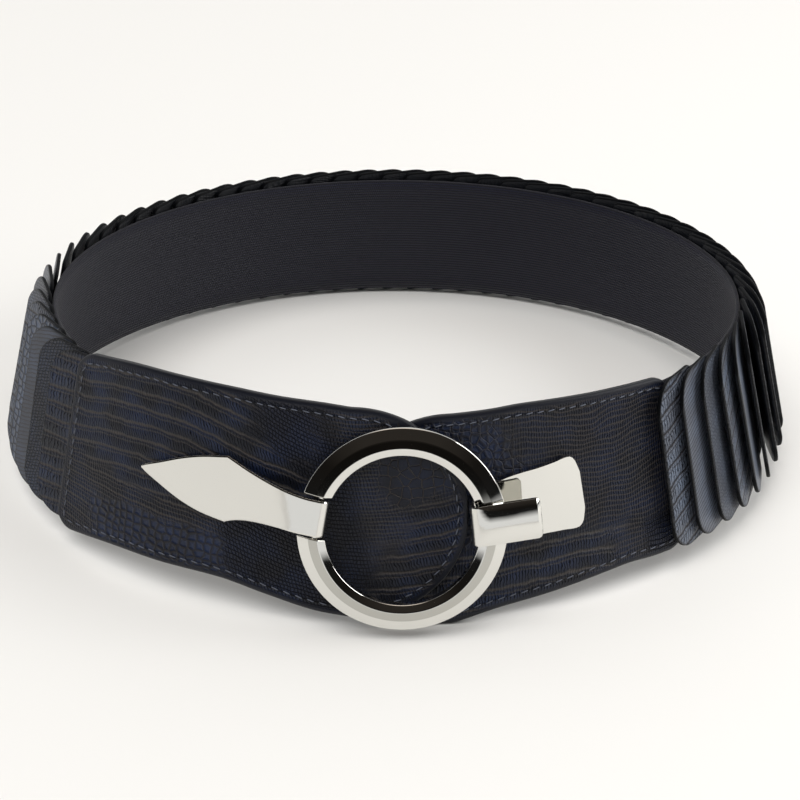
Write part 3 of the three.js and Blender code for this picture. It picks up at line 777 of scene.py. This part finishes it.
def plate(number):
    length, thick = plateSizes["length"], plateSizes["thickness"]
    free, corner = plateSizes["freeRadius"], plateSizes["seamRadius"]
    seam = firstSeam + number * platePitch
    _, along, up, out = directions(np.array(seam))
    forward = -along * math.cos(plateTilt) + out * math.sin(plateTilt)
    face = np.cross(forward, -up)
    seat = onLoop(seam, 0, bandLook["thickness"] + room)

    def put(x, v, depth):
        return stand(seat + forward * x[..., None] + up * v[..., None] + face * depth[..., None])

    columns = np.concatenate([
        corner - corner * np.cos(np.radians([0, 20, 45, 70])),
        np.linspace(corner, length - free, 8),
        length - free + free * np.sin(np.radians(np.linspace(8, 90, 14))),
    ])
    rim, ends = {"width": plateSizes["edgeWidth"], "depth": plateSizes["edgeDepth"]}, (0, length)
    points, faces, materials, x, v, edge = slab(
        columns, plateOutline, thick, rim, plateSizes["rowsAcross"], put, ends
    )
    fromLeft = plateSizes["count"] - 1 - number
    kind = leftKinds[fromLeft] if fromLeft < len(leftKinds) else rightKinds[number % len(rightKinds)]
    # the plates are paler than the panels, save the first ones on the left, and palest on the right: painted light
    # from the right side light, fading round the back towards the left
    pale = (1 - 0.35 * number / plateSizes["count"]) * smoothStep(-0.8, 4, fromLeft)
    # each plate takes its grain from another place
    vectors = reliefVectors([x + 40 * number, v, edge], plateRelief(kind, x, v, number), pale)
    name = f"plate_{number + 1:02d}"
    leather = [plateLeather, plateEdge]
    addPiece(name + "_leather", points, faces, [name], leather, materials, vectors)


for number in range(plateSizes["count"]):
    plate(number)
print("plates made")

# Buckle
ringLook = {
    "radius": 37.3, "band": 10, "thickness": 4.9, "height": -4.2, "lean": 3, "gap": 15.4, "facets": 240, "edge": 0.45,
}
pinLook = {"radius": 1.1, "depth": 3, "fromEdge": 7.3, "turn": 9.6}
_, frontAlong, frontUp, frontOut = directions(np.array(0.0))
leanTurn = math.radians(ringLook["lean"])
ringOut = frontOut * math.cos(leanTurn) + frontUp * math.sin(leanTurn)
ringUp = frontUp * math.cos(leanTurn) - frontOut * math.sin(leanTurn)
standOff = leftFront + room + ringLook["thickness"] / 2 + ringLook["radius"] * math.sin(leanTurn)
ringCentre = onLoop(0.0, ringLook["height"], standOff)
ringInner = ringLook["radius"] - ringLook["band"]
ringCrest = ringInner + 0.28 * ringLook["band"]
pinReach = ringLook["radius"] - pinLook["fromEdge"]
pinTurn = math.radians(pinLook["turn"])
pinDirection = -frontAlong * math.cos(pinTurn) + ringUp * math.sin(pinTurn)
pinAxis = unit(np.cross(pinDirection, ringOut))
pinAxis = pinAxis if pinAxis[2] > 0 else -pinAxis


def ringPoint(direction, distance, lift):
    return ringCentre + direction * distance + ringOut * lift


def softEdges(made, width, angle=22):
    bevel = made.modifiers.new("soft edges", "BEVEL")
    bevel.width = width * metre
    bevel.segments = 3
    bevel.limit_method = "ANGLE"
    bevel.angle_limit = math.radians(angle)
    bevel.harden_normals = True


# A closed body through sections of equally many points, its faces turned outward
def sweep(sections):
    sections = np.array(sections)
    n, m = sections.shape[:2]
    faces = [
        (i * m + j, (i + 1) * m + j, (i + 1) * m + (j + 1) % m, i * m + (j + 1) % m)
        for i in range(n - 1) for j in range(m)
    ]
    faces += [tuple(range(m)), tuple(range((n - 1) * m, n * m))[::-1]]
    points = sections.reshape(-1, 3)
    volume = sum(
        np.dot(points[f[0]], np.cross(points[f[k]], points[f[k + 1]])) for f in faces for k in range(1, len(f) - 1)
    )
    return points, faces if volume > 0 else [f[::-1] for f in faces]


def ringPiece():
    back, crest = -ringLook["thickness"] / 2, ringLook["thickness"] / 2
    radius, band, thick = ringLook["radius"], ringLook["band"], ringLook["thickness"]
    profile = np.array([
        (ringInner, back), (radius, back), (radius, crest - 0.58 * thick),
        (radius - 0.41 * band, crest - 0.16 * thick), (ringCrest, crest), (ringInner, crest - 0.27 * thick),
    ])
    start = np.arcsin(ringLook["gap"] / 2 / profile[:, 0])
    sections = []
    for share in np.linspace(0, 1, ringLook["facets"]):
        angle = start + share * (2 * math.pi - 2 * start)
        sections.append(
            ringCentre
            + (np.cos(angle) * profile[:, 0])[:, None] * pinDirection
            + (np.sin(angle) * profile[:, 0])[:, None] * pinAxis
            + profile[:, 1][:, None] * ringOut
        )
    points, faces = sweep(sections)
    # the face of the profile that gets the darker nickel, its painted shade, all along but not at the two ends
    shallow = 3
    paintedShadeFaces = [1 if i % len(profile) == shallow and i < len(faces) - 2 else 0 for i in range(len(faces))]
    made = addPiece("ring_polished", stand(points), faces, ["ring"], [nickel, nickelPaintedShade], paintedShadeFaces)
    softEdges(made, ringLook["edge"], 12)


ringPiece()


# A strip of metal through rows of (middle, across, width, thickness, bevel, front, crown), front only where it is
# fixed; the crown is how far the middle of its front stands out
def strip(rows):
    middles = np.array([row[0] for row in rows])
    sections = []
    for i, (middle, across, width, thick, bevel, front, crown) in enumerate(rows):
        if front is None:
            way = unit(middles[min(i + 1, len(rows) - 1)] - middles[max(i - 1, 0)])
            front = unit(np.cross(way, across))
        side = unit(across - front * np.dot(across, front))
        half, wide = thick / 2, width / 2
        flat = wide - bevel
        shape = [(-wide, -half), (-wide, half - bevel / 2)]
        shape += [(flat * y, half + crown * (1 - y * y)) for y in np.linspace(-1, 1, 9)]
        shape += [(wide, half - bevel / 2), (wide, -half)]
        sections.append([middle + side * y + front * z for y, z in shape])
    return sweep(sections)


# The leaf's tables are shares of its length, from its knuckle to its tip, and of its width
leafLook = {
    "thickness": 1.8, "tip": 94.5, "width": 25, "tipHeight": 4.2, "lift": 61, "knuckle": 13.2,
    "neckAhead": 1.9, "neckLift": 0.62, "neckEase": 0.7, "edge": 0.18,
}
leafNeck = [(0, 0.53), (0.17, 0.58), (0.34, 0.74), (0.5, 1)]
leafBlade = [(0.5, 1), (0.64, 0.86), (0.76, 0.65), (0.9, 0.31), (0.97, 0.14), (1, 0.04)]


def leafPlate():
    onLeather = leftFront + room + leafLook["thickness"] / 2
    thick = leafLook["thickness"]

    def row(middle, across, share):
        width = leafLook["width"] * share
        return (middle, across, width, thick, min(0.3 * thick, width * 0.25), None, 0.0)

    rows = []
    for share in np.concatenate([[1, 0.99, 0.975], np.linspace(0.95, 0.5, 28)]):
        distance = -(leafLook["lift"] + (leafLook["tip"] - leafLook["lift"]) * (share - 0.5) * 2)
        _, _, up, _ = directions(np.array(distance))
        rows.append(row(onLoop(distance, leafLook["tipHeight"], onLeather), up, smoothColumn(leafBlade, share, 1)))
    curl = pinLook["radius"] + room + thick / 2
    bend = ringPoint(pinDirection, pinReach + leafLook["neckAhead"] * curl, leafLook["neckLift"] * curl)
    belly = rows[-1]
    leave = unit(belly[0] - rows[-2][0])
    arrive = unit(ringPoint(pinDirection, pinReach + 0.34 * curl, 0.94 * curl) - bend)
    span = np.linalg.norm(bend - belly[0]) * leafLook["neckEase"]
    for share in np.linspace(0.49, 0.0, 30):
        part = 1 - share / 0.5
        smooth = (
            (2 * part**3 - 3 * part**2 + 1) * belly[0] + (part**3 - 2 * part**2 + part) * span * leave
            + (3 * part**2 - 2 * part**3) * bend + (part**3 - part**2) * span * arrive
        )
        across = unit(belly[1] * (1 - part) + pinAxis * part)
        rows.append(row(smooth, across, smoothColumn(leafNeck, share, 1)))
    for turn in np.radians(np.arange(110, -141, -10)):
        at = ringPoint(pinDirection, pinReach - curl * math.cos(turn), curl * math.sin(turn))
        rows.append(row(at, pinAxis, leafLook["knuckle"] / leafLook["width"]))
    points, faces = strip(rows)
    made = addPiece("leaf_plate_polished", stand(points), faces, ["leaf_plate"], [nickel])
    softEdges(made, leafLook["edge"])


leafPlate()

# The flare's table is shares of the reach on the leather, from the ring outward, and of the width
hookLook = {
    "turn": 5.5, "thickness": 1.8, "bevelShare": 0.25, "reach": 64.5, "flare": 27.4, "wall": 14.4, "past": 12,
    "tilt": 11, "tongueThick": 2.4, "tongueHeight": 14.6, "bevel": 1.7, "gap": 0.5, "corner": 2.5,
    "crown": 0.65, "crownLoss": 0.6, "edge": 0.2,
}
flareRows = [
    (0, 0.526), (0.09, 0.605), (0.18, 0.74), (0.28, 0.84), (0.44, 0.9), (0.6, 0.92), (0.76, 0.96), (0.92, 1.0),
    (0.97, 0.84), (1, 0.5),
]
# How far along the tongue, and there the shares of its height, thickness and bevel
tongueRows = [
    (0.12, 1, 1, 1), (0.5, 1, 1, 1), (0.93, 1, 1, 1), (0.965, 0.97, 0.85, 0.9), (0.99, 0.9, 0.65, 0.6),
    (1, 0.8, 0.45, 0.3),
]


def hookPiece():
    thick, corner, turn = hookLook["thickness"], hookLook["corner"], math.radians(hookLook["turn"])
    bevelWidth = hookLook["bevelShare"] * thick
    direction = frontAlong * math.cos(turn) + ringUp * math.sin(turn)
    acrossRing = unit(np.cross(ringOut, direction))
    onLeather = rightOffset + panelLook["thickness"] + room + thick / 2
    wall = math.sqrt(ringInner**2 - (hookLook["wall"] / 2) ** 2) - room - thick / 2
    turnStart = wall + corner

    def sideways(distance):
        return onLoop(distance, ringLook["height"] + distance * math.tan(turn), onLeather)

    base, slope = turnStart, 0.0
    for _ in range(6):
        slope = math.asin(np.dot(directions(np.array(base))[3], direction))
        base += turnStart - corner * math.sin(slope) - np.dot(sideways(base) - ringCentre, direction)
    rows = []

    def flat(middle, across, width, thickness, bevel, front=None, crown=0.0):
        rows.append((middle, across, width, thickness, bevel, front, crown))

    for share in np.concatenate([[1, 0.99, 0.97, 0.95], np.linspace(0.92, 0, 32)]):
        distance = base + (hookLook["reach"] - base) * share
        _, along, up, _ = directions(np.array(distance))
        across = up * math.cos(turn) - along * math.sin(turn)
        width = hookLook["flare"] * smoothColumn(flareRows, share, 1)
        flat(sideways(distance), across, width, thick, bevelWidth)
    baseLift = np.dot(rows[-1][0] - ringCentre, ringOut) + corner * math.cos(slope)
    fall = math.radians(hookLook["tilt"])
    tongueStart = turnStart + corner * math.sin(fall)
    crestLift = ringLook["thickness"] / 2 + hookLook["gap"] + hookLook["tongueThick"] / 2 / math.cos(fall)
    tongueLift = crestLift + (ringCrest - tongueStart) * math.tan(fall)
    lowerBend = (baseLift, np.arange(-110, -180, -8))
    upperBend = (tongueLift - corner * math.cos(fall), np.arange(176, 96, -8))
    for centreLift, turns in (lowerBend, upperBend):
        for angle in np.radians(turns):
            reach = turnStart + corner * math.cos(angle)
            middle = ringPoint(direction, reach, centreLift + corner * math.sin(angle))
            flat(middle, acrossRing, hookLook["wall"], thick, bevelWidth)
    tongueFront = ringOut * math.cos(fall) + direction * math.sin(fall)
    for share, width, thickness, bevel in tongueRows:
        reach = tongueStart + (ringLook["radius"] + hookLook["past"] - tongueStart) * share
        lift = tongueLift - (reach - tongueStart) * math.tan(fall) - hookLook["tongueThick"] * (1 - thickness) / 2
        flat(
            ringPoint(direction, reach, lift), acrossRing, hookLook["tongueHeight"] * width,
            hookLook["tongueThick"] * thickness, hookLook["bevel"] * bevel, tongueFront,
            hookLook["crown"] * (1 - hookLook["crownLoss"] * share),
        )
    points, faces = strip(rows)
    made = addPiece("hook_polished", stand(points), faces, ["hook"], [nickel])
    softEdges(made, hookLook["edge"])


hookPiece()
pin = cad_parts["hinge_pin"]
pin.data.materials.clear()
pin.data.materials.append(nickel)
print("buckle made")

# Floor, world and lights. The world is dark with a bright rim low down, a light overhead and one bright side, which
# the metal mirrors; stops are heights in it
studio = {
    "floor": "#e2e1de",
    "floorDrop": 0.0002,
    "horizon": 0.9,
    "horizonStop": 0.09,
    "dark": 0.01,
    "darkStop": 0.2,
    "high": 0.03,
    "back": 0.8,
    "warmth": (1, 0.86, 0.74),
    "aim": (0, 0, 0.03),
    "key": {"from": (-0.35, -0.5, 1.5), "spread": 45, "power": 2.1},
    "left": {"from": (-1.3, -0.4, 1.0), "size": 1.0, "power": 3.6},
    "right": {"from": (1.3, -0.2, 0.9), "size": 1.0, "power": 12.6},
}
bpy.ops.mesh.primitive_plane_add(size=8, location=(0, 0, -studio["floorDrop"]))
floor = bpy.context.object
floor.name = "floor"
# matt and pale, so that the belt stands out
floor.data.materials.append(plain("pale floor", studio["floor"], 0.9))

world = bpy.data.worlds.new("studio")
bpy.context.scene.world = world
world.use_nodes = True
tree = world.node_tree
tree.nodes.clear()
_, towardsBack, rise = node(tree, "SeparateXYZ", i0=node(tree, "TexCoord").outputs["Generated"]).outputs
ramp = node(tree, "ValToRGB", i0=rise)
stops = ramp.color_ramp.elements
stops[0].position, stops[0].color = studio["horizonStop"], (studio["horizon"],) * 3 + (1,)
stops[1].position, stops[1].color = studio["darkStop"], (studio["dark"],) * 3 + (1,)
for place, value in ((0.5, studio["dark"]), (0.76, studio["high"]), (0.9, studio["high"]), (0.97, 1.0)):
    stops.new(place).color = tuple(value * tint for tint in studio["warmth"]) + (1,)
behind = mapRange(tree, towardsBack, 0.05, 0.4, "SMOOTHSTEP")
sky = mixColours(tree, behind, ramp.outputs[0], (studio["back"],) * 3 + (1,))
background = node(tree, "Background", i0=sky, i1=1.0)
tree.links.new(background.outputs[0], node(tree, "OutputWorld").inputs[0])


# A sun where a spread is given, or else a square area light
def addLight(name, look, glossy):
    isSun = "spread" in look
    light = bpy.data.lights.new(name, "SUN" if isSun else "AREA")
    if isSun:
        light.angle = math.radians(look["spread"])
    else:
        light.size = look["size"]
    light.energy = look["power"]
    made = bpy.data.objects.new(name, light)
    made.location = look["from"]
    made.rotation_mode = "QUATERNION"
    made.rotation_quaternion = (Vector(studio["aim"]) - Vector(look["from"])).to_track_quat("-Z", "Y")
    made.visible_glossy = glossy
    bpy.context.scene.collection.objects.link(made)


# The key is as wide and even as an overcast window, so that the floor stays one tone far out
addLight("key", studio["key"], False)
addLight("left side", studio["left"], False)
addLight("right side", studio["right"], True)

view = {
    "lens": 86.7,
    "sensor": 36,
    "from": (-0.01373, -0.67675, 0.4354),
    "aim": (-0.00049, -0.08949, 0.07338),
    "roll": 0.522,
}
camera = bpy.data.objects.new("camera", bpy.data.cameras.new("camera"))
camera.data.lens, camera.data.sensor_width = view["lens"], view["sensor"]
camera.location = view["from"]
camera.rotation_mode = "QUATERNION"
look = (Vector(view["aim"]) - camera.location).to_track_quat("-Z", "Y")
camera.rotation_quaternion = look @ Matrix.Rotation(math.radians(view["roll"]), 3, "Z").to_quaternion()
bpy.context.scene.collection.objects.link(camera)
bpy.context.scene.camera = camera
bpy.context.scene.view_settings.view_transform = "Standard"
